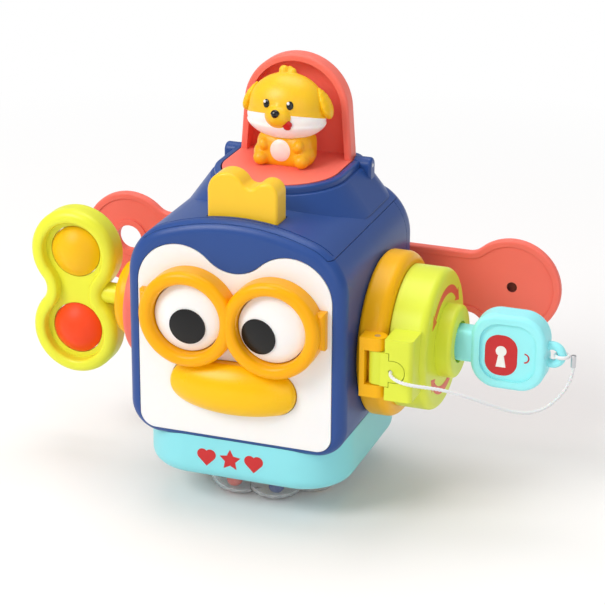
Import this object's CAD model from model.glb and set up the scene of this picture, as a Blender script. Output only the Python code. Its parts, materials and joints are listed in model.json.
# %% [markdown]
# # A pop-up activity toy, dressed over its engineering model
#
# The moulded parts of this toy come from a CAD model, already in place and already joined.
# This lesson gives them plastics, rubber, vinyl and steel, and adds the small soft forms
# that CAD draws stiffly: the puppy, the twisted cord, the printed signs and the screws.
# The first cell loads the model and notes how large it is, so that the end can compare.

# %% Load the model
import json
import math

import bmesh
import bpy
from mathutils import Matrix, Vector


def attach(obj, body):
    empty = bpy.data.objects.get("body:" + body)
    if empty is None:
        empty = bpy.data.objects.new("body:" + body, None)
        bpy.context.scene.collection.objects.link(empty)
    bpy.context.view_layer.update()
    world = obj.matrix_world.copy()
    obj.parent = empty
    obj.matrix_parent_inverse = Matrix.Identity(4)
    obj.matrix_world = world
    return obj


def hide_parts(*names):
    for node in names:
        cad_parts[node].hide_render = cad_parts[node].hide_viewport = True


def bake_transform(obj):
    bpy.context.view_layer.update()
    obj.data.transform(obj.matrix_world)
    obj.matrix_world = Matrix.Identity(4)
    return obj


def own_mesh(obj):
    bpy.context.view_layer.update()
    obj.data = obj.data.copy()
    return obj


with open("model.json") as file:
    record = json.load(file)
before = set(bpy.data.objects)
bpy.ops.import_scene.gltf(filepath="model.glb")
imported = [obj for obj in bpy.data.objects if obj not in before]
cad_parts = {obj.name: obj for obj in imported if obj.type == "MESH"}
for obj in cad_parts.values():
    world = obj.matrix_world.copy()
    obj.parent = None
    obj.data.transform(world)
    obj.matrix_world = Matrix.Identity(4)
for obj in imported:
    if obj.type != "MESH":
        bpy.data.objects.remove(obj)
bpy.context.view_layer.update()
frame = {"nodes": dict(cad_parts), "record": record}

nodes = frame["nodes"]
print("loaded", len(nodes), "moulded nodes")

# %% [markdown]
# ## Working by hand, in code
#
# A modeller clicks a primitive into the scene, enters edit mode, picks faces and moves them.
# The helpers below do just that. An operator acts on everything that is selected, so each
# helper first clears the selection. Sizes are written in millimetres and turned into metres.

# %% Selecting and adding
MM = 0.001


def mm(*values):
    """Millimetres as a vector in metres."""
    return Vector(values) * MM


def fresh():
    """Object mode with nothing selected."""
    if bpy.context.object and bpy.context.object.mode != "OBJECT":
        bpy.ops.object.mode_set(mode="OBJECT")
    bpy.ops.object.select_all(action="DESELECT")


def take(*pieces):
    """Selects these pieces, the first one as the active piece."""
    fresh()
    for piece in pieces:
        piece.select_set(True)
    bpy.context.view_layer.objects.active = pieces[0]


def settled(piece):
    """Puts a piece's place, turn and size into its mesh."""
    take(piece)
    bpy.ops.object.transform_apply(location=True, rotation=True, scale=True)
    return piece


def named(name):
    """Gives the piece just added its name."""
    piece = bpy.context.object
    piece.name = piece.data.name = name
    return piece


def placed(piece, centre, turn):
    """Turns a piece in degrees, moves it to its place and settles it."""
    piece.rotation_euler = [math.radians(angle) for angle in turn]
    piece.location = mm(*centre)
    return settled(piece)


def ball(name, centre, size, turn=(0, 0, 0), segments=40):
    """A ball stretched to a width, depth and height in millimetres, turned in degrees."""
    fresh()
    rings = segments * 3 // 5
    bpy.ops.mesh.primitive_uv_sphere_add(segments=segments, ring_count=rings, radius=0.5)
    piece = named(name)
    piece.scale = mm(*size)
    return placed(piece, centre, turn)


def box(name, centre, size, turn=(0, 0, 0)):
    """A block of a width, depth and height in millimetres."""
    fresh()
    bpy.ops.mesh.primitive_cube_add(size=1)
    piece = named(name)
    piece.scale = mm(*size)
    return placed(piece, centre, turn)


def disc(name, centre, radius, depth, turn=(0, 0, 0), sides=48):
    """A short round bar along its own Z axis, radius and depth in millimetres."""
    fresh()
    bpy.ops.mesh.primitive_cylinder_add(vertices=sides, radius=radius * MM, depth=depth * MM)
    return placed(named(name), centre, turn)


# %% [markdown]
# ## Picking parts of a mesh
#
# In the window a face is picked with the mouse. Here it is picked by a rule on its middle,
# such as "higher than this" or "nearer to the axis than that". What is picked can then be
# drawn in or out.

# %% Picking and drawing
def middle(part):
    """Middle of a face, an edge or a corner."""
    if isinstance(part, bmesh.types.BMVert):
        return part.co
    return sum((corner.co for corner in part.verts), Vector()) / len(part.verts)


def edit(piece, kind="FACE"):
    """Opens a piece in edit mode, ready to pick faces, edges or corners."""
    take(piece)
    bpy.ops.object.mode_set(mode="EDIT")
    bpy.ops.mesh.select_mode(type=kind)


def pick(piece, rule, kind="FACE"):
    """Selects the faces, edges or corners whose middle passes the rule, and counts them."""
    bpy.ops.mesh.select_mode(type=kind)
    bpy.ops.mesh.select_all(action="DESELECT")
    mesh = bmesh.from_edit_mesh(piece.data)
    parts = {"FACE": mesh.faces, "EDGE": mesh.edges, "VERT": mesh.verts}[kind]
    chosen = [part for part in parts if rule(middle(part))]
    for part in chosen:
        part.select_set(True)
    bmesh.update_edit_mesh(piece.data)
    return len(chosen)


def drawn(piece, rule, factors, about=None):
    """Picks corners and draws them in or out, about their own middle or about a point."""
    edit(piece, "VERT")
    pick(piece, rule, "VERT")
    if about is None:
        bpy.ops.transform.resize(value=factors)
    else:
        bpy.ops.transform.resize(value=factors, center_override=about)
    fresh()


# %% [markdown]
# ## Shaping whole pieces
#
# A modifier is applied as soon as it is set, so that each piece ends as a plain mesh. Pieces
# are cut by a Boolean, made one or copied, and at the end every face has to point outwards,
# or the light would treat it as the inside.

# %% Cutting, joining, shading and copying
def modified(piece, kind, **settings):
    """Adds a modifier, sets it and applies it."""
    take(piece)
    modifier = piece.modifiers.new(kind.title(), kind)
    for key, value in settings.items():
        setattr(modifier, key, value)
    bpy.ops.object.modifier_apply(modifier=modifier.name)


def combined(piece, tool, operation):
    """Cuts a tool out of a piece (DIFFERENCE) or adds it (UNION), and deletes the tool."""
    modified(piece, "BOOLEAN", operation=operation, solver="EXACT", object=tool)
    bpy.data.objects.remove(tool)


def joined(name, *pieces):
    """One mesh out of several."""
    take(*pieces)
    bpy.ops.object.join()
    return named(name)


def smooth(piece, angle):
    """Soft shading over turns gentler than the angle, crisp shading over sharper ones."""
    take(piece)
    bpy.ops.object.shade_smooth_by_angle(angle=math.radians(angle))
    return piece


def faced(piece, way):
    """Turns every face of a flat piece to the side that the vector points to."""
    edit(piece)
    mesh = bmesh.from_edit_mesh(piece.data)
    for face in mesh.faces:
        if face.normal.dot(way) < 0:
            face.normal_flip()
    bmesh.update_edit_mesh(piece.data)
    fresh()


def outward(piece):
    """Welds doubled corners and turns every face outwards."""
    edit(piece, "VERT")
    bpy.ops.mesh.select_all(action="SELECT")
    bpy.ops.mesh.remove_doubles(threshold=1e-6)
    bpy.ops.mesh.normals_make_consistent(inside=False)
    fresh()


def copied(piece, name, matrix):
    """A copy with its own mesh, moved by a matrix."""
    twin = piece.copy()
    twin.data = piece.data.copy()
    twin.name = twin.data.name = name
    bpy.context.scene.collection.objects.link(twin)
    twin.data.transform(matrix)
    return twin


# %% [markdown]
# ## Writing a material as arithmetic
#
# A finish is a graph of nodes, but it reads more easily as a sum. `Signal` wraps one socket,
# and adding, multiplying or comparing signals adds the Math nodes for it.

# %% A signal
class Signal:
    """One output socket that can be used in a sum."""

    def __init__(self, finish, socket):
        self.finish = finish
        self.socket = socket

    def math(self, operation, first, second):
        """Adds one Math node for two signals or numbers."""
        return self.finish.node("ShaderNodeMath", {"operation": operation}, {0: first, 1: second})

    def __add__(self, other):
        return self.math("ADD", self, other)

    def __radd__(self, other):
        return self.math("ADD", other, self)

    def __sub__(self, other):
        return self.math("SUBTRACT", self, other)

    def __rsub__(self, other):
        return self.math("SUBTRACT", other, self)

    def __mul__(self, other):
        return self.math("MULTIPLY", self, other)

    def __rmul__(self, other):
        return self.math("MULTIPLY", other, self)

    def __truediv__(self, other):
        return self.math("DIVIDE", self, other)

    def __rtruediv__(self, other):
        return self.math("DIVIDE", other, self)

    def __pow__(self, other):
        return self.math("POWER", self, other)

    def __lt__(self, other):
        return self.math("LESS_THAN", self, other)

    def __gt__(self, other):
        return self.math("GREATER_THAN", self, other)


# %% [markdown]
# `Finish` holds the graph and has one method for any other node. Positions come from Object
# coordinates, so a pattern stays on the plastic when the piece moves.

# %% A finish
class Finish:
    """The node graph of a new material, or of the world when that is handed in."""

    def __init__(self, name, owner=None):
        self.owner = owner or bpy.data.materials.new(name)
        self.owner.use_nodes = True
        self.tree = self.owner.node_tree
        self.tree.nodes.clear()

    def node(self, kind, settings=None, inputs=None, output=0):
        """Adds a node: its settings first, then the values or links of its sockets."""
        made = self.tree.nodes.new(kind)
        for key, value in (settings or {}).items():
            setattr(made, key, value)
        for key, value in (inputs or {}).items():
            if isinstance(value, Signal):
                self.tree.links.new(value.socket, made.inputs[key])
            else:
                made.inputs[key].default_value = value
        return Signal(self, made.outputs[output]) if made.outputs else made

    def place(self):
        """Position on the piece, in metres."""
        return self.node("ShaderNodeTexCoord", output="Object")

    def noise(self, where, scale, detail=2.0, rough=0.5):
        """Cloudy values from 0 to 1; scale is in waves per metre."""
        return self.node("ShaderNodeTexNoise", {"noise_dimensions": "3D"},
                         {"Vector": where, "Scale": scale, "Detail": detail, "Roughness": rough})

    def seen_by(self, *kinds):
        """1 for rays of these kinds, such as "Camera", and 0 for all others."""
        rays = self.node("ShaderNodeLightPath").socket.node.outputs
        first, *others = [Signal(self, rays[f"Is {kind} Ray"]) for kind in kinds]
        seen = sum(others, first)
        return seen.math("MINIMUM", seen, 1.0)

    def part_of(self, where):
        """The X, Y and Z of a position as three signals."""
        split = self.node("ShaderNodeSeparateXYZ", {}, {0: where})
        outputs = split.socket.node.outputs
        return [Signal(self, outputs[n]) for n in range(3)]

    def mix(self, share, first, second):
        """Colour between first (share 0) and second (share 1)."""
        return self.node("ShaderNodeMix", {"data_type": "RGBA"}, {0: share, 6: first, 7: second}, 2)

    def rounded(self, radius):
        """Edges that are rounded for the light alone, by a radius in millimetres."""
        return self.node("ShaderNodeBevel", {"samples": 4}, {"Radius": radius * MM})

    def bump(self, height, strength, distance, normal=None):
        """A small relief for the light, from a height signal; distance is in metres."""
        inputs = {"Height": height, "Strength": strength, "Distance": distance}
        if normal is not None:
            inputs["Normal"] = normal
        return self.node("ShaderNodeBump", {}, inputs)

    def shaded(self, **sockets):
        """A Principled surface; underscores in the names stand for spaces."""
        named_sockets = {key.replace("_", " "): value for key, value in sockets.items()}
        return self.node("ShaderNodeBsdfPrincipled", {}, named_sockets)

    def ended(self, surface):
        """Links the surface to the material's output and returns the material."""
        self.node("ShaderNodeOutputMaterial", {}, {"Surface": surface})
        return self.owner


# %% [markdown]
# Colours are written as on a paint chart, 0 to 255, but the nodes count light, where half as
# bright to the eye is about a fifth as much.

# %% Colours
def colour(red, green, blue):
    """A paint-chart colour, 0 to 255, as the linear values that the nodes use."""
    linear = [(c / 255 / 12.92) if c <= 10 else ((c / 255 + 0.055) / 1.055) ** 2.4
              for c in (red, green, blue)]
    return (*linear, 1.0)


def toned(tint, gain, lift=0.0):
    """The same colour made deeper or paler by a gain, and lifted a little."""
    return (*[min(1.0, c * gain + lift) for c in tint[:3]], 1.0)


# %% [markdown]
# ## Moulded plastic
#
# Polished ABS is almost one colour, and that is why a flat colour looks false: the real
# part drifts a little where the melt flowed, its gloss is broken by a very fine orange peel,
# and handling leaves faint dull patches. A little light also goes under the skin, which
# warms the shaded side of bright colours. The Bevel node rounds the sharp CAD edges by a
# few tenths of a millimetre for the light alone, as the tool maker's file would. The deep
# yellows get less shine than the rest, because a gloss mirrors the white room and pales them.

# %% The plastic recipe
# How far red, green and blue light wander under a skin of each colour, as shares.
UNDER_WARM = (1.0, 0.5, 0.3)
UNDER_WHITE = (1.0, 0.55, 0.4)
UNDER_YELLOW = (1.0, 0.9, 0.3)
UNDER_BLUE = (0.3, 0.4, 1.0)
UNDER_TURQUOISE = (0.4, 0.9, 1.0)


def plastic(name, tint, gloss=0.34, drift=0.07, under=0.10, warm=UNDER_WARM, edge=0.35, shine=0.36):
    """Glossy moulded plastic of one colour, with drift, orange peel and handling marks."""
    finish = Finish(name)
    where = finish.place()
    flow = finish.noise(where, scale=26.0, detail=3.0)
    peel = finish.noise(where, scale=620.0)
    marks = finish.noise(where, scale=95.0, detail=5.0, rough=0.62)
    base = finish.mix(flow, toned(tint, 1 - drift), toned(tint, 1 + drift * 0.6, lift=0.002))
    rough = gloss - 0.04 + 0.06 * flow + 0.10 * (marks ** 3.0)
    relief = finish.bump(peel, strength=0.10, distance=0.00008, normal=finish.rounded(edge))
    surface = finish.shaded(Base_Color=base, Roughness=rough, Normal=relief, IOR=1.5,
                            Specular_IOR_Level=shine, Subsurface_Weight=under,
                            Subsurface_Radius=warm, Subsurface_Scale=0.0022)
    return finish.ended(surface)


blue_shell = plastic("blue_shell", colour(38, 75, 144), gloss=0.36, warm=UNDER_BLUE)
goggle_orange = plastic("goggle_orange", colour(255, 176, 0), gloss=0.31, shine=0.24)
ring_orange = plastic("ring_orange", colour(251, 184, 6), gloss=0.34, shine=0.26)
beak_gold = plastic("beak_gold", colour(255, 196, 0), gloss=0.28, under=0.14, shine=0.3)
latch_yellow = plastic("latch_yellow", colour(255, 202, 44), gloss=0.34)
lemon = plastic("lemon", colour(236, 238, 58), gloss=0.35, warm=UNDER_YELLOW)
door_lime = plastic("door_lime", colour(226, 236, 66), gloss=0.35, warm=UNDER_YELLOW)
turquoise = plastic("turquoise", colour(142, 226, 234), gloss=0.37, warm=UNDER_TURQUOISE)
key_turquoise = plastic("key_turquoise", colour(158, 242, 248), gloss=0.37, warm=UNDER_TURQUOISE)
cap_white = plastic("cap_white", colour(236, 236, 232), gloss=0.42)
inner_grey = plastic("inner_grey", colour(196, 198, 200), gloss=0.48)
bead_navy = plastic("bead_navy", colour(38, 62, 140), gloss=0.2, edge=0.05)
bead_yellow = plastic("bead_yellow", colour(255, 200, 40), gloss=0.2, edge=0.05)
bead_coral = plastic("bead_coral", colour(255, 108, 88), gloss=0.2, edge=0.05)
print("plastics ready")

# %% [markdown]
# ## The white face
#
# The plate and the eyes are white plastic. White is written below full white, so that the
# light can still show its shape, and more light goes under the skin than in a deep colour.

# %% White and black for the face
white_plate = plastic("white_plate", colour(244, 243, 242), gloss=0.36, drift=0.012, under=0.22,
                      warm=UNDER_WHITE)
eye_white = plastic("eye_white", colour(245, 244, 243), gloss=0.24, drift=0.01, under=0.22,
                    warm=UNDER_WHITE)
pupil_dark = plastic("pupil_dark", colour(7, 7, 8), gloss=0.34, drift=0.2, under=0.0)
print("face plastics ready")

# %% [markdown]
# ## Soft rubber
#
# The strap, the hood and the boss are a softer moulding with a satin skin: less gloss, a
# finer and stronger grain, and a trace of sheen where the surface turns away. The pop
# bubbles and the bellows are silicone, thin enough for light to wander through them. The
# strap's right disc has a small blind hole, where grime gathers, so its inside is darker.

# %% The rubber recipe
UNDER_RUBBER = (1.0, 0.35, 0.25)
RUBBER_EDGE = 0.4
STRAP_HOLE = (106.1, 93.6)
STRAP_HOLE_R = 2.9
STRAP_HOLE_INSIDE_Y = 61.3


def rubber(name, tint, gloss=0.5, under=0.16, grime_rule=None):
    """Satin silicone or soft plastic of one colour; grime gathers where the rule is 1."""
    finish = Finish(name)
    where = finish.place()
    cloud = finish.noise(where, scale=34.0, detail=4.0)
    dust = finish.noise(where, scale=1500.0)
    base = finish.mix(cloud, toned(tint, 0.93), toned(tint, 1.04, lift=0.004))
    if grime_rule:
        x, y, z = finish.part_of(where)
        base = finish.mix(grime_rule(x, y, z), base, toned(tint, 0.16))
    rough = gloss - 0.05 + 0.08 * cloud + 0.05 * dust
    relief = finish.bump(dust, strength=0.16, distance=0.00005, normal=finish.rounded(RUBBER_EDGE))
    surface = finish.shaded(Base_Color=base, Roughness=rough, Normal=relief, IOR=1.43,
                            Specular_IOR_Level=0.36, Subsurface_Weight=under,
                            Subsurface_Radius=UNDER_RUBBER, Subsurface_Scale=0.003,
                            Sheen_Weight=0.04, Sheen_Roughness=0.4)
    return finish.ended(surface)


def strap_hole(x, y, z):
    """Inside the small blind hole in the strap's right disc."""
    across = (x - STRAP_HOLE[0] * MM) / MM
    along = (z - STRAP_HOLE[1] * MM) / MM
    near = across * across + along * along < STRAP_HOLE_R ** 2
    return near * (y > STRAP_HOLE_INSIDE_Y * MM)


coral = rubber("coral", colour(255, 120, 104), gloss=0.42)
strap_coral = rubber("strap_coral", colour(255, 118, 102), gloss=0.42, grime_rule=strap_hole)
bubble_orange = rubber("bubble_orange", colour(255, 196, 14), gloss=0.4, under=0.3)
bubble_red = rubber("bubble_red", colour(255, 74, 22), gloss=0.4, under=0.3)
soft_grey = rubber("soft_grey", colour(176, 178, 182), gloss=0.6)
print("rubbers ready")

# %% [markdown]
# ## Steel, clear plastic, print and thread
#
# Pins, springs and screws are plated steel with fine lines round them. The rattle dome is
# clear, so it needs a real wall and a refractive index, not an Alpha value. The signs are a
# glossy ink, a little uneven as pad printing leaves it. The cord is white polyester.

# %% The other finishes
def plated_steel(name):
    """Bright plated steel with fine uneven lines."""
    finish = Finish(name)
    where = finish.place()
    stretched = finish.node("ShaderNodeMapping", {}, {"Vector": where, "Scale": (1.0, 1.0, 14.0)})
    lines = finish.noise(stretched, scale=420.0, detail=3.0)
    cloud = finish.noise(where, scale=80.0, detail=3.0)
    dull, bright = (0.52, 0.53, 0.55, 1.0), (0.68, 0.69, 0.71, 1.0)
    base = finish.mix(cloud, dull, bright)
    rough = 0.22 + 0.16 * lines
    relief = finish.bump(lines, strength=0.12, distance=0.00004)
    surface = finish.shaded(Base_Color=base, Metallic=1.0, Roughness=rough, Normal=relief)
    return finish.ended(surface)


def clear_plastic(name):
    """Clear polystyrene with a faint ripple."""
    finish = Finish(name)
    where = finish.place()
    ripple = finish.noise(where, scale=120.0)
    relief = finish.bump(ripple, strength=0.08, distance=0.00012)
    rough = 0.02 + 0.03 * ripple
    surface = finish.shaded(Base_Color=(0.975, 0.985, 0.99, 1.0), Roughness=rough, Normal=relief,
                            IOR=1.32, Transmission_Weight=0.95)
    return finish.ended(surface)


def ink(name, tint, gloss=0.3):
    """Pad-printed ink, slightly thin in places."""
    finish = Finish(name)
    where = finish.place()
    thin = finish.noise(where, scale=240.0, detail=4.0, rough=0.6)
    base = finish.mix(thin, toned(tint, 0.86), tint)
    rough = gloss + 0.12 * thin
    relief = finish.bump(thin, strength=0.05, distance=0.00003)
    surface = finish.shaded(Base_Color=base, Roughness=rough, Normal=relief, Coat_Weight=0.1,
                            Coat_Roughness=0.12)
    return finish.ended(surface)


def thread(name):
    """White twisted polyester, with fibres along the strand."""
    finish = Finish(name)
    where = finish.place()
    fibres = finish.noise(where, scale=2600.0, detail=3.0, rough=0.65)
    base = finish.mix(fibres, colour(214, 216, 218), colour(250, 250, 250))
    relief = finish.bump(fibres, strength=0.35, distance=0.00006)
    rough = 0.55 + 0.25 * fibres
    surface = finish.shaded(Base_Color=base, Roughness=rough, Normal=relief, Sheen_Weight=0.3,
                            Sheen_Roughness=0.4, Subsurface_Weight=0.15, Subsurface_Scale=0.0006)
    return finish.ended(surface)


steel = plated_steel("steel")
clear = clear_plastic("clear")
red_ink = ink("red_ink", colour(206, 22, 26))
arrow_ink = ink("arrow_ink", colour(236, 92, 58), gloss=0.34)
white_ink = ink("white_ink", colour(246, 246, 244))
black_ink = ink("black_ink", colour(7, 6, 6), gloss=0.12)
cord_white = thread("cord_white")
print("steel, clear plastic, inks and thread ready")

# %% [markdown]
# ## The puppy's paint
#
# The head is one yellow moulding, and the lower face is sprayed white through a mask whose
# edge is straight, while the round muzzle stays yellow. A mask is a comparison of positions:
# below a sloping line, and outside an egg-shaped zone. The belly has a pale oval.

# %% Painted vinyl
UNDER_VINYL = (1.0, 0.45, 0.25)
PAINT_EDGE_Z = 190.9    # the sprayed edge's height at the very front
PAINT_EDGE_FALL = 0.27  # and how far it falls for each millimetre towards the back
MUZZLE_MIDDLE = (0.0, 2.4, 189.0)
MUZZLE_HALF = (6.9, 7.5, 5.7)
BELLY_MIDDLE = (-0.2, 8.0, 170.4)
BELLY_HALF = (5.2, 30.0, 5.6)
BELLY_BACK_Y = 12       # the oval is only in front of this


def oval(place, middle, half):
    """Squared distance from the middle of an oval zone, 1 on its edge."""
    x, y, z = [(axis - c * MM) / (h * MM) for axis, c, h in zip(place, middle, half)]
    return x * x + y * y + z * z


def lower_face(x, y, z):
    """White below the sloping edge, but not on the muzzle."""
    below = (z + PAINT_EDGE_FALL * y) < PAINT_EDGE_Z * MM
    off_muzzle = oval((x, y, z), MUZZLE_MIDDLE, MUZZLE_HALF) > 1.0
    return below * off_muzzle


def belly_patch(x, y, z):
    """A pale oval on the front of the body."""
    inside = oval((x, y, z), BELLY_MIDDLE, BELLY_HALF) < 1.0
    return inside * (y < BELLY_BACK_Y * MM)


def painted_vinyl(name, mask_rule, tint, paint):
    """Yellow vinyl with one sprayed colour where the mask is 1."""
    finish = Finish(name)
    where = finish.place()
    mask = mask_rule(*finish.part_of(where))
    cloud = finish.noise(where, scale=60.0, detail=3.0)
    skin = finish.noise(where, scale=900.0)
    base = finish.mix(mask, finish.mix(cloud, toned(tint, 0.93), tint), paint)
    rough = 0.36 + 0.07 * cloud - 0.04 * mask
    relief = finish.bump(skin + 0.8 * mask, strength=0.10, distance=0.00008)
    surface = finish.shaded(Base_Color=base, Roughness=rough, Normal=relief, Subsurface_Weight=0.18,
                            Subsurface_Radius=UNDER_VINYL, Subsurface_Scale=0.002)
    return finish.ended(surface)


head_vinyl = painted_vinyl("puppy_head_vinyl", lower_face,
                           tint=colour(253, 198, 22), paint=colour(255, 252, 249))
body_vinyl = painted_vinyl("puppy_body_vinyl", belly_patch,
                           tint=colour(252, 186, 14), paint=colour(252, 238, 230))
puppy_yellow = plastic("puppy_yellow", colour(253, 196, 18), gloss=0.37, under=0.18)
print("puppy's paint ready")

# %% [markdown]
# ## Giving the CAD nodes their finish
#
# Every node in the record names its material slot. Each slot has one finish here, and a few
# nodes differ within their slot: the eyes are glossier than the plate round them, the key is
# a little paler than the tray, and only the strap has the grime of its hole.

# %% Dress the carried-over nodes
BY_SLOT = {
    "blue_shell": blue_shell, "white_plate": white_plate, "goggle_orange": goggle_orange,
    "pupil_dark": pupil_dark, "beak_gold": beak_gold, "inner_grey": inner_grey,
    "soft_grey": soft_grey, "coral": coral, "dog_yellow": puppy_yellow,
    "latch_yellow": latch_yellow, "steel": steel, "lemon": lemon,
    "bubble_orange": bubble_orange, "bubble_red": bubble_red, "door_lime": door_lime,
    "turquoise": turquoise, "cord_white": cord_white, "clear": clear, "cap_white": cap_white,
    "bead_navy": bead_navy, "bead_yellow": bead_yellow, "bead_coral": bead_coral,
}
BY_NODE = {"left_eye": eye_white, "right_eye": eye_white, "winder_hub": ring_orange,
           "right_ring": ring_orange, "lock_core": door_lime, "strap": strap_coral,
           "key": key_turquoise}


def dressed(piece, body, material):
    """Gives a new piece its finish and its slot, and lets it ride on a body."""
    piece.data.materials.clear()
    piece.data.materials.append(material)
    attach(piece, body)


for part in frame["record"]["subparts"]:
    material = BY_NODE.get(part["node"], BY_SLOT[part["material_slot"]])
    nodes[part["node"]].data.materials.clear()
    nodes[part["node"]].data.materials.append(material)

# %% [markdown]
# ## Springs that give
#
# The coil under the latch and the bellows behind the beak shorten when they are pressed. Each
# is the CAD node's own mesh again, held at its fixed end, and it gives by just the travel.


def springy(name, node):
    """A spring that shortens by the joint's travel towards its fixed end, in millimetres."""
    source = nodes[node]
    twin = bpy.data.objects.new(name, source.data.copy())
    bpy.context.scene.collection.objects.link(twin)
    twin.data.transform(source.matrix_world)
    dressed(twin, "head", source.data.materials[0])
    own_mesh(twin)
    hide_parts(node)


springy("latch_coil", "latch_spring")
springy("squeak_bellows", "beak_bellows")
print("springs give")

# %% [markdown]
# ## The puppy's head
#
# A vinyl figure has no corners: every form runs into the next with a soft fillet. Sculpting
# would do it, and so does this: overlapping balls for skull, jowl, muzzle and the three tufts
# on the crown are joined, a voxel remesh turns them into one skin, and a few rounds of
# smoothing melt the creases. The jowl is a bowl: its foot is drawn a little wider first.

# %% Skull, jowl, muzzle and tufts
POPUP = "popup"
LOOK_Y = 17.0           # the head's middle, from front to back
CHEEK_Z = (181, 191)    # band of the skull that is drawn wider
JOWL_FOOT_Z = 184
TUFTS = ((-2.3, 18.6, 208.2, 5.0), (1.9, 19.0, 207.6, 4.2), (-0.2, 21.2, 207.8, 4.0))
VINYL_FOLD = 60         # sharpest turn that still shades softly, in degrees
INSERT_FOLD = 50        # and the same where a form ends in a flat cut


def melted(name, parts, voxel, rounds):
    """One soft skin over several overlapping forms; the voxel is in millimetres."""
    piece = joined(name, *parts)
    modified(piece, "REMESH", mode="VOXEL", voxel_size=voxel * MM)
    modified(piece, "SMOOTH", factor=0.55, iterations=rounds)
    return piece


skull = ball("skull", (0, LOOK_Y, 191.2), (38.6, 28.0, 32.6), segments=64)
drawn(skull, lambda p: CHEEK_Z[0] * MM < p.z < CHEEK_Z[1] * MM, (1.03, 1.02, 1.0))
jowl = ball("jowl", (0, LOOK_Y - 0.6, 186.4), (40.4, 27.0, 23.6), segments=64)
drawn(jowl, lambda p: p.z < JOWL_FOOT_Z * MM, (1.04, 1.04, 1.0), mm(0, LOOK_Y, JOWL_FOOT_Z))
muzzle = ball("muzzle", (0, 4.4, 189.0), (13.4, 9.8, 10.8))
bridge = ball("bridge", (0, 6.6, 193.2), (8.0, 8.0, 8.0))
tufts = [ball("tuft", (x, y, z), (size, size, size)) for x, y, z, size in TUFTS]
puppy_head = melted("puppy_head", [skull, jowl, muzzle, bridge, *tufts], voxel=0.45, rounds=6)
smooth(puppy_head, VINYL_FOLD)
dressed(puppy_head, POPUP, head_vinyl)
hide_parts("dog_head")
print("puppy head", len(puppy_head.data.polygons), "faces")

# %% [markdown]
# ## Ears
#
# The ears are glued-on flaps, so they keep a crease against the head. A flattened ball is
# drawn narrow at its root and a little fuller at the tip, band by band, and leans outwards
# on each side.

# %% Drooping ears
EAR_SIZE = (6.0, 12.0, 16.6)
EAR_BANDS = ((6.4, 20.0, 0.55), (3.2, 6.4, 0.76), (0.4, 3.2, 0.9), (-8.0, -3.0, 1.07))
EAR_ROLL, EAR_LEAN, EAR_TWIST = 4, 22, 8    # degrees about X, Y and Z
EAR_OUT = 19.0
EAR_BEHIND = 1.6        # behind the middle of the head
EAR_Z = 193.6


def ear(side, name):
    """A flap that hangs from the side of the head: side -1 is the left, 1 the right."""
    flap = ball(name, (0, 0, 0), EAR_SIZE)
    for low, high, width in EAR_BANDS:
        drawn(flap, lambda p: low * MM < p.z < high * MM, (width, width, 1.0), (0, 0, 0))
    modified(flap, "SUBSURF", levels=1, render_levels=1)
    placed(flap, (side * EAR_OUT, LOOK_Y + EAR_BEHIND, EAR_Z),
           (EAR_ROLL, -side * EAR_LEAN, side * EAR_TWIST))
    dressed(smooth(flap, VINYL_FOLD), POPUP, puppy_yellow)


for side, name in ((-1, "puppy_ear_left"), (1, "puppy_ear_right")):
    ear(side, name)
print("ears hung")

# %% [markdown]
# ## The puppy's body
#
# It sits with short arms against a round belly. Block, belly, haunches, feet and arms are
# melted together in the same way, and a block under the hood's floor is cut away from the
# result, so that it sits flat.

# %% Body, arms and feet
SEAT_Z = 162.0
TRUNK_BEVEL = 6.4
BOTH_SIDES = (1, -1)
UNDER_SEAT = (60, 60, 20)   # the block that cuts it flat
SEAT_LIFT = 0.02        # keeps the flat underside just clear of the floor

trunk = box("trunk", (0, LOOK_Y, SEAT_Z + 7.6), (28.6, 18.6, 19.0))
edit(trunk, "EDGE")
bpy.ops.mesh.select_all(action="SELECT")
bpy.ops.mesh.bevel(offset=TRUNK_BEVEL * MM, segments=6)
fresh()
belly = ball("belly", (0, 9.4, SEAT_Z + 8.3), (13.0, 6.0, 13.0))
haunches = [ball("haunch", (side * 11.0, 13.6, SEAT_Z + 5.4), (9.6, 13.0, 11.0))
            for side in BOTH_SIDES]
feet = [ball("foot", (side * 10.6, 8.6, SEAT_Z + 3.6), (7.8, 8.0, 7.6), (0, 0, side * 12))
        for side in BOTH_SIDES]
arms = [ball("arm", (side * 9.2, 8.2, SEAT_Z + 11.0), (5.0, 5.0, 6.4), (-20, side * 20, 0))
        for side in BOTH_SIDES]
puppy_body = melted("puppy_body", [trunk, belly, *haunches, *feet, *arms], voxel=0.5, rounds=7)
under_seat = box("under_seat", (0, LOOK_Y, SEAT_Z + SEAT_LIFT - UNDER_SEAT[2] / 2), UNDER_SEAT)
combined(puppy_body, under_seat, "DIFFERENCE")
smooth(puppy_body, INSERT_FOLD)
dressed(puppy_body, POPUP, body_vinyl)
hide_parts("dog_body")
print("puppy body", len(puppy_body.data.polygons), "faces")

# %% [markdown]
# ## Eyes, nose and tongue
#
# These are small inserted domes, each set into the skin at the angle of the face there. A dome
# is a flattened ball with its back sliced off, and the nose is also drawn narrower at its
# foot. Each eye has a second, tiny white dome as its glint. The tongue is melted from two
# balls, so that it is broad above and ends in a tip.

# %% Small features on the face
BACK_SLICE = 0.3        # where a dome's back is cut, as a share of its depth
FOOT_START = 0.12       # where its foot starts, as a share of its height
EYE_X = 6.1
EYE_TURN = 15
GLINT_X = -0.7          # both glints lie left of the middle of their eye
NOSE_FOOT = 0.86


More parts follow.
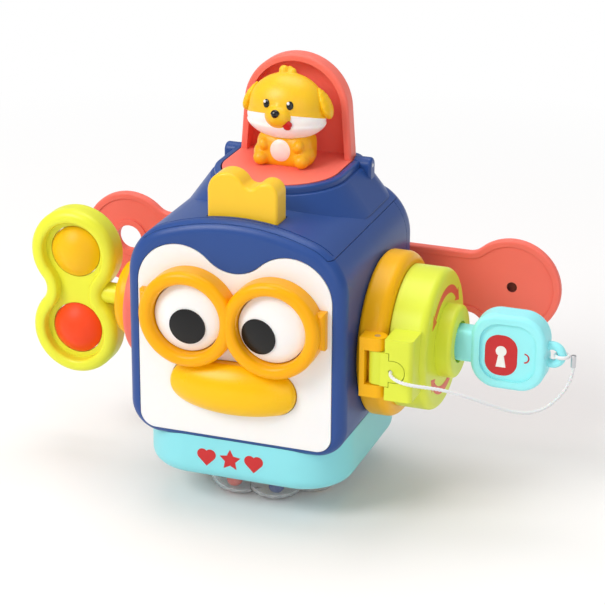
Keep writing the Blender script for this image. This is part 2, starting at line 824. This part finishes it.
def button(name, centre, size, turn, material, foot=1.0):
    """A small dome with a flat back, set into the puppy's skin; foot narrows its lower part."""
    dome = ball(name, (0, 0, 0), size, segments=32)
    edit(dome, "VERT")
    bpy.ops.mesh.select_all(action="SELECT")
    bpy.ops.mesh.bisect(plane_co=mm(0, size[1] * BACK_SLICE, 0), plane_no=(0, 1, 0),
                        use_fill=True, clear_outer=True)
    pick(dome, lambda p: p.z < -size[2] * FOOT_START * MM, "VERT")
    bpy.ops.transform.resize(value=(foot, 1, 1), center_override=(0, 0, 0))
    fresh()
    dressed(smooth(placed(dome, centre, turn), INSERT_FOLD), POPUP, material)


for side, name in ((-1, "left"), (1, "right")):
    button("puppy_eye_" + name, (side * EYE_X, 4.0, 194.9), (3.4, 1.2, 4.3),
           (-12, 0, side * EYE_TURN), black_ink)
    button("puppy_glint_" + name, (side * EYE_X + GLINT_X, 3.55, 196.0), (1.5, 0.6, 1.6),
           (-14, 0, side * EYE_TURN), white_ink)
button("puppy_nose", (-0.2, 0.1, 191.2), (4.5, 3.0, 4.1), (-20, 0, 0), black_ink, foot=NOSE_FOOT)
blade = ball("blade", (4.5, 3.0, 185.8), (6.2, 2.2, 4.4), (12, 14, 9))
tip = ball("tip", (5.0, 3.3, 184.2), (4.0, 2.0, 3.6), (14, 10, 9))
tongue = melted("puppy_tongue", [blade, tip], voxel=0.14, rounds=3)
dressed(smooth(tongue, VINYL_FOLD), POPUP, red_ink)
print("face features set")

# %% [markdown]
# ## The turning arrows on the door
#
# Two curved arrows round the lock show that the key turns. They are ink, but a thin real
# layer keeps a clean edge at any size of picture. A ring is made from a circle that is
# extruded and scaled, and the parts between the arrows are deleted. A three-sided disc at
# each end is the head, and Solidify gives the layer its thickness.

# %% Curved arrows
DOOR_FACE_X = 88.7
LOCK_AXIS = (1.0, 85.5)     # its Y and Z
ARROW_R = 25.2
ARROW_BAND = 4.0
ARROW_HALF_SWEEP = 46.0
ARROW_HEAD_R = 4.3
INK_T = 0.12


def flat_ring(name, centre, inner, outer, turn, sides=120):
    """A flat ring, made by extruding a circle and scaling the new edge."""
    fresh()
    bpy.ops.mesh.primitive_circle_add(vertices=sides, radius=inner * MM, fill_type="NOTHING")
    ring = named(name)
    edit(ring, "EDGE")
    bpy.ops.mesh.select_all(action="SELECT")
    bpy.ops.mesh.extrude_region_move()
    bpy.ops.transform.resize(value=(outer / inner, outer / inner, 1))
    fresh()
    return placed(ring, centre, turn)


def door_angle(p):
    """Angle round the lock's axis, in degrees from the back."""
    return math.degrees(math.atan2(p.z - LOCK_AXIS[1] * MM, p.y - LOCK_AXIS[0] * MM))


def arrow_head(angle, forward):
    """A three-sided disc at one end of an arrow, pointing along the ring."""
    fresh()
    bpy.ops.mesh.primitive_circle_add(vertices=3, radius=ARROW_HEAD_R * MM, fill_type="NGON")
    head = named("arrow_head")
    a = math.radians(angle)
    along = Vector((0, -math.sin(a), math.cos(a))) * forward
    across = Vector((0, math.cos(a), math.sin(a)))
    turn = Matrix((across.cross(along), across, along)).transposed()
    middle_line = mm(DOOR_FACE_X, *LOCK_AXIS) + across * ARROW_R * MM
    centre = middle_line + along * (ARROW_HEAD_R / 2) * MM
    upright = Matrix(((0, 0, 1), (1, 0, 0), (0, 1, 0)))
    head.data.transform(Matrix.Translation(centre) @ (turn @ upright).to_4x4())
    return head


arrows = flat_ring("door_arrows", (DOOR_FACE_X, *LOCK_AXIS), ARROW_R - ARROW_BAND / 2,
                   ARROW_R + ARROW_BAND / 2, (0, 90, 0))
edit(arrows)
spare = pick(arrows, lambda p: abs(abs(door_angle(p)) - 90) > ARROW_HALF_SWEEP)
bpy.ops.mesh.delete(type="FACE")
fresh()
heads = [arrow_head(middle_angle + way * ARROW_HALF_SWEEP, way)
         for middle_angle in (90, -90) for way in (1, -1)]
arrows = joined("door_arrows", arrows, *heads)
faced(arrows, Vector((1, 0, 0)))
modified(arrows, "SOLIDIFY", thickness=INK_T * MM, offset=1.0)
dressed(arrows, "door", arrow_ink)
print("arrows cut out of", spare, "ring faces")

# %% [markdown]
# ## The sign on the key
#
# Each dished side of the key's bow carries a red patch. The sign on it is a plain white
# keyhole, which tells a child what the key is for. The patch is a thin block with its four
# upright edges bevelled round, and the keyhole is a disc with a flared foot. Beside the
# patch is a small red tick, half of a flat ring.

# %% Key patch, keyhole and tick
DISH_FLOOR = 5.4        # from the middle of the key's thickness
PATCH_X, PATCH_Z = 118.6, 83.6
PATCH_W, PATCH_H = 16.2, 21.0
PATCH_CORNER_R = 7.2
KEYHOLE_R = 2.7
KEYHOLE_RISE = 2.2      # its round part above the middle of the patch
KEYHOLE_FOOT_W, KEYHOLE_FOOT_H = 2.4, 7.0
KEYHOLE_FOOT_DROP = 2.6
KEYHOLE_FLARE = 2.1
TICK_X = 130.2
TICK_INNER_R, TICK_OUTER_R = 1.9, 2.6


def key_patch(side, name, floor_y):
    """The red patch in the dish: side -1 faces the front, 1 the back."""
    patch = box(name, (PATCH_X, floor_y + side * INK_T / 2, PATCH_Z), (PATCH_W, INK_T, PATCH_H))
    edit(patch, "EDGE")
    pick(patch, lambda p: abs(p.x - PATCH_X * MM) > PATCH_W * 0.45 * MM
         and abs(p.z - PATCH_Z * MM) > PATCH_H * 0.45 * MM, "EDGE")
    bpy.ops.mesh.bevel(offset=PATCH_CORNER_R * MM, segments=12)
    fresh()
    dressed(patch, "key", red_ink)


def keyhole(side, name, floor_y):
    """The white keyhole on the patch."""
    y = floor_y + side * (INK_T + INK_T / 2)
    hole = disc(name, (PATCH_X, y, PATCH_Z + KEYHOLE_RISE), KEYHOLE_R, INK_T, (90, 0, 0))
    foot_z = PATCH_Z - KEYHOLE_FOOT_DROP
    foot = box("foot", (PATCH_X, y, foot_z), (KEYHOLE_FOOT_W, INK_T, KEYHOLE_FOOT_H))
    drawn(foot, lambda p: p.z < foot_z * MM, (KEYHOLE_FLARE, 1, 1), mm(PATCH_X, 0, 0))
    combined(hole, foot, "UNION")
    dressed(hole, "key", white_ink)


def tick(side, name, floor_y):
    """The small red half ring between the patch and the key's eye."""
    arc = flat_ring(name, (TICK_X, floor_y, PATCH_Z), TICK_INNER_R, TICK_OUTER_R, (90, 0, 0), 40)
    edit(arc)
    pick(arc, lambda p: p.x < (TICK_X + 0.1) * MM)
    bpy.ops.mesh.delete(type="FACE")
    fresh()
    faced(arc, Vector((0, side, 0)))
    modified(arc, "SOLIDIFY", thickness=INK_T * MM, offset=1.0)
    dressed(arc, "key", red_ink)


for side, name in ((-1, "key_front"), (1, "key_back")):
    floor_y = LOCK_AXIS[0] + side * DISH_FLOOR
    key_patch(side, name + "_patch", floor_y)
    keyhole(side, name + "_keyhole", floor_y)
    tick(side, name + "_tick", floor_y)
print("key printed on both sides")

# %% [markdown]
# ## Signs on the tray
#
# The front of the tray has a row of three red shapes: heart, star, heart. A star is a
# ten-sided disc whose every other corner is drawn in. A heart is a square turned on its
# corner with a round disc on each upper side, made one by a Boolean.

# %% Hearts and a star
TRAY_FRONT_Y = -54.5
SIGN_Y = TRAY_FRONT_Y - INK_T / 2
STAR_X, STAR_Z = -3.0, 29.4
STAR_R = 5.8
STAR_WAIST = 0.5        # how far every other corner is drawn in
STAR_TIP_R = 0.5
HEART_STEP = 12.4       # from the star to the middle of each heart
HEART_Z = 28.6
HEART_SIDE = 5.76       # side of its square


def star(name, x, z, radius):
    """A five-pointed star in ink."""
    shape = disc(name, (x, SIGN_Y, z), radius, INK_T, (90, 0, 0), sides=10)
    centre = mm(x, TRAY_FRONT_Y, z)
    waists = [math.radians(90 + 36 * n) for n in range(1, 10, 2)]

    def at_waist(p):
        here = math.atan2(p.z - centre.z, p.x - centre.x)
        away = [abs(math.remainder(here - angle, 2 * math.pi)) for angle in waists]
        return min(away) < math.radians(10)

    drawn(shape, at_waist, (STAR_WAIST, 1, STAR_WAIST), centre)
    modified(shape, "BEVEL", width=STAR_TIP_R * MM, segments=3, limit_method="ANGLE",
             angle_limit=math.radians(40))
    dressed(shape, "head", red_ink)


def heart(name, x, z, side):
    """A heart in ink."""
    body = box(name, (x, SIGN_Y, z), (side, INK_T, side), (0, 45, 0))
    step = side / 2 * math.cos(math.radians(45))
    for way in (1, -1):
        lobe = disc("lobe", (x + way * step, SIGN_Y, z + step), side / 2, INK_T, (90, 0, 0))
        combined(body, lobe, "UNION")
    dressed(body, "head", red_ink)


heart("tray_heart_a", STAR_X - HEART_STEP, HEART_Z, HEART_SIDE)
star("tray_star", STAR_X, STAR_Z, STAR_R)
heart("tray_heart_b", STAR_X + HEART_STEP, HEART_Z, HEART_SIDE)
print("tray signs printed")

# %% [markdown]
# ## Screws
#
# The back and the base are held by small pan-head screws. One screw is turned from a
# cylinder: its top edge is bevelled round, a cross of two blocks is cut out with a Boolean,
# and the shank tapers to a point. The others are copies of it.

# %% A cross-head screw and its copies
SCREW_HEAD_R = 3.0
SCREW_R = 1.5
SLOT_W = 0.75
SLOT_L = 1.15           # as a share of the head's radius
SLOT_H = 1.1            # as a share of the head's height; half of it cuts in
HEAD_ROUND = 0.55       # rounding of the head's rim, as a share of its height
SCREW_POINT = 0.35      # width of the point, as a share of the shank's
SCREW_FOLD = 35
BACK_HEAD_H, BACK_SHANK_L = 1.2, 9.9
BACK_SCREWS = [(x, 54.6, z) for x in (-40, 40) for z in (60, 112)]
BASE_HEAD_H, BASE_SHANK_L = 1.9, 25.0
BASE_SCREWS = [(x, y, 21.0) for x in (-38, 38) for y in (-40, 30)]


def cross_screw(head_h, shank_l):
    """A screw with its seat at the origin, head up along Z."""
    head = disc("screw", (0, 0, head_h / 2), SCREW_HEAD_R, head_h, sides=40)
    edit(head, "EDGE")
    pick(head, lambda p: p.z > head_h * 0.99 * MM and p.xy.length > SCREW_HEAD_R * 0.9 * MM, "EDGE")
    bpy.ops.mesh.bevel(offset=head_h * HEAD_ROUND * MM, segments=5)
    fresh()
    for turn in (0, 90):
        size = (SCREW_HEAD_R * SLOT_L, SLOT_W, head_h * SLOT_H)
        slot = box("slot", (0, 0, head_h), size, (0, 0, turn))
        combined(head, slot, "DIFFERENCE")
    shank = disc("shank", (0, 0, -shank_l / 2), SCREW_R, shank_l, sides=24)
    edit(shank, "VERT")
    bpy.ops.mesh.select_all(action="SELECT")
    bpy.ops.mesh.subdivide(number_cuts=6)
    drawn(shank, lambda p: p.z < -(shank_l * 0.97) * MM, (SCREW_POINT, SCREW_POINT, 1), (0, 0, 0))
    return joined("screw", head, shank)


def screw_set(name, node, pattern, places, lay):
    """Copies of one screw at its places, as one piece that stands for a CAD node."""
    twins = [copied(pattern, "screw_copy", Matrix.Translation(mm(*place)) @ lay) for place in places]
    bpy.data.objects.remove(pattern)
    piece = joined(name, *twins)
    smooth(piece, SCREW_FOLD)
    dressed(piece, "head", steel)
    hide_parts(node)


face_back = Matrix.Rotation(math.radians(-90), 4, "X")
screw_set("back_screws_cut", "back_screws", cross_screw(BACK_HEAD_H, BACK_SHANK_L),
          BACK_SCREWS, face_back)
face_down = Matrix.Rotation(math.radians(180), 4, "X")
screw_set("base_screws_cut", "base_screws", cross_screw(BASE_HEAD_H, BASE_SHANK_L),
          BASE_SCREWS, face_down)
print("screws turned")

# %% [markdown]
# ## The key's cord
#
# A thin polyester cord hangs between the door's tongue and the key, so that the key can't be
# lost. Its route is a short list of points, from the tongue to the key's eye, and a NURBS
# curve of order 3 runs smoothly near them. That curve is read back as points, and three
# strands are wound round it, as the real cord is twisted.

# %% Centreline of the cord
CORD_ROUTE = [
    (75.6, -42.5, 84.9), (75.6, -46.9, 84.9), (77.8, -51.0, 84.4), (82.6, -53.0, 83.3),
    (88.8, -52.2, 82.3), (95.6, -49.4, 81.2), (102.6, -45.8, 79.4), (109.2, -41.8, 76.6),
    (115.8, -37.4, 73.0), (122.6, -32.2, 68.8), (129.6, -26.2, 64.6), (136.4, -19.8, 61.8),
    (142.6, -13.4, 62.2), (147.6, -7.8, 65.6), (151.3, -3.0, 70.6), (153.2, 1.0, 76.1),
    (153.2, 1.0, 80.5),
]
line = bpy.data.curves.new("cord_line", "CURVE")
line.dimensions = "3D"
line.resolution_u = 20
spline = line.splines.new("NURBS")
spline.points.add(len(CORD_ROUTE) - 1)
for point, place in zip(spline.points, CORD_ROUTE):
    point.co = (*mm(*place), 1.0)
spline.order_u = 3
spline.use_endpoint_u = True
guide = bpy.data.objects.new("cord_line", line)
bpy.context.scene.collection.objects.link(guide)
bpy.context.view_layer.update()
read = bpy.data.meshes.new_from_object(guide.evaluated_get(bpy.context.evaluated_depsgraph_get()))
centre_points = [v.co.copy() for v in read.vertices]
bpy.data.objects.remove(guide)

# %% [markdown]
# Each strand is a helix round the centreline. The frame that carries the helix is moved
# along the curve without twisting, by projecting it on the next cross-section.

# %% Three twisted strands
STRANDS = 3
STRAND_R = 0.46
STRAND_OFF = 0.43       # from the cord's centreline to the strand's
PITCH = 5.2             # length of cord for one turn of a strand


def strand_points(phase):
    """Points of one strand, wound round the centreline."""
    side = Vector((0, 0, 1))
    run, points = 0.0, []
    for n, here in enumerate(centre_points):
        ahead = centre_points[min(n + 1, len(centre_points) - 1)]
        behind = centre_points[max(n - 1, 0)]
        tangent = (ahead - behind).normalized()
        side = (side - tangent * side.dot(tangent)).normalized()
        other = tangent.cross(side)
        turn = phase + 2 * math.pi * run / (PITCH * MM)
        points.append(here + (side * math.cos(turn) + other * math.sin(turn)) * STRAND_OFF * MM)
        run += (ahead - here).length
    return points


def strand(phase):
    """One round strand as a mesh."""
    path = bpy.data.curves.new("strand", "CURVE")
    path.dimensions = "3D"
    path.bevel_depth = STRAND_R * MM
    path.bevel_resolution = 2
    path.use_fill_caps = True
    run = path.splines.new("POLY")
    places = strand_points(phase)
    run.points.add(len(places) - 1)
    for point, place in zip(run.points, places):
        point.co = (*place, 1.0)
    piece = bpy.data.objects.new("strand", path)
    bpy.context.scene.collection.objects.link(piece)
    take(piece)
    bpy.ops.object.convert(target="MESH")
    return bpy.context.object


strands = [strand(2 * math.pi * n / STRANDS) for n in range(STRANDS)]
cord = joined("key_cord", *strands)
outward(cord)
smooth(cord, VINYL_FOLD)
cord.data.materials.clear()
cord.data.materials.append(cord_white)
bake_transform(cord)
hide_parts("tether_cord")
print("cord wound from", len(strands), "strands")

# %% [markdown]
# ## Floor, light and camera
#
# A pale sweep lies under the toy. It is plain diffuse, so it keeps the soft shadow, and for
# camera, mirror and glass rays it also glows a little, more so further away, so that the
# ground fades to white. Its glow never lights the toy.

# %% Floor
FLOOR_R = 9.0           # metres, as all sizes in the studio are
FLOOR_DROP = 0.0002     # keeps the floor clear of the toy's underside
FADE_FROM, FADE_TO = 0.22, 0.72     # distances from the toy's middle
NEAR_GLOW = 0.06        # share of the glow that is added close to the toy
WHITE = (1, 1, 1, 1)

fresh()
bpy.ops.mesh.primitive_circle_add(vertices=96, radius=FLOOR_R, fill_type="NGON")
floor = named("studio_floor")
floor.location = (0, 0, -FLOOR_DROP)
settled(floor)
ground = Finish("studio_floor")
far = ground.node("ShaderNodeVectorMath", {"operation": "LENGTH"}, {0: ground.place()}, 1)
fade = ground.node("ShaderNodeMapRange", {"clamp": True},
                   {"Value": far, "From Min": FADE_FROM, "From Max": FADE_TO})
seen = ground.seen_by("Camera", "Glossy", "Transmission")
matt = ground.node("ShaderNodeBsdfDiffuse", {}, {"Color": colour(242, 240, 239)})
glow = ground.node("ShaderNodeEmission", {}, {"Color": WHITE, "Strength": 1.0})
lifted = ground.node("ShaderNodeAddShader", {}, {0: matt, 1: glow})
near = ground.node("ShaderNodeMixShader", {}, {0: seen * NEAR_GLOW, 1: matt, 2: lifted})
faded = ground.node("ShaderNodeMixShader", {}, {0: seen * fade, 1: near, 2: glow})
floor.data.materials.append(ground.ended(faded))
print("floor laid")

# %% [markdown]
# The world is soft white, plain white to the eye. A large lamp in front on the left is the
# main light, a broad one above fills the top, and a weak, slightly cool one in front on the
# right opens the shade.

# %% World and lamps
SKY_LIGHT = 0.46
TARGET = (0, 0, 0.10)

world = bpy.data.worlds.new("studio")
bpy.context.scene.world = world
sky = Finish("studio", world)
shown = sky.seen_by("Camera", "Transmission")
soft = sky.node("ShaderNodeBackground", {}, {"Color": (1.0, 0.995, 0.99, 1), "Strength": SKY_LIGHT})
white = sky.node("ShaderNodeBackground", {}, {"Color": WHITE, "Strength": 1.0})
dome = sky.node("ShaderNodeMixShader", {}, {0: shown, 1: soft, 2: white})
sky.node("ShaderNodeOutputWorld", {}, {"Surface": dome})


def lamp(name, place, size, watts, tint=(1, 1, 1)):
    """A square soft lamp that looks at the toy's middle; place and size are in metres."""
    data = bpy.data.lights.new(name, "AREA")
    data.shape = "SQUARE"
    data.size = size
    data.energy = watts
    data.color = tint
    made = bpy.data.objects.new(name, data)
    bpy.context.scene.collection.objects.link(made)
    made.location = place
    made.rotation_mode = "QUATERNION"
    made.rotation_quaternion = (Vector(TARGET) - Vector(place)).to_track_quat("-Z", "Y")


lamp("key_light", (-0.85, -1.2, 1.25), size=0.8, watts=17.9, tint=(1.0, 0.993, 0.985))
lamp("top_light", (-0.1, 0.3, 1.6), size=1.1, watts=11.0)
lamp("fill_light", (0.9, -1.4, 0.6), size=1.0, watts=3.6, tint=(0.97, 0.985, 1.0))
print("studio lit")

# %% [markdown]
# The camera looks down a little from the toy's right front, with a long lens. Three
# directions say how it is held: its right, its up and the way it looks.

# %% Camera
CAMERA_PLACE = (0.371703, -0.998305, 0.511205)
CAMERA_RIGHT = Vector((0.940777, 0.338971, 0.006143))
CAMERA_UP = Vector((-0.129239, 0.341819, 0.930837))
CAMERA_AHEAD = Vector((-0.313427, 0.876503, -0.365384))
LENS = 135.96
SENSOR = 36.0

camera_data = bpy.data.cameras.new("camera")
camera_data.sensor_width = SENSOR
camera_data.lens = LENS
camera_data.clip_start = 0.05
camera_data.clip_end = 40.0
camera = bpy.data.objects.new("camera", camera_data)
bpy.context.scene.collection.objects.link(camera)
axes = Matrix((CAMERA_RIGHT, CAMERA_UP, -CAMERA_AHEAD)).transposed().to_4x4()
camera.matrix_world = Matrix.Translation(CAMERA_PLACE) @ axes
bpy.context.scene.camera = camera
bpy.context.scene.view_settings.view_transform = "Standard"
print("camera set")
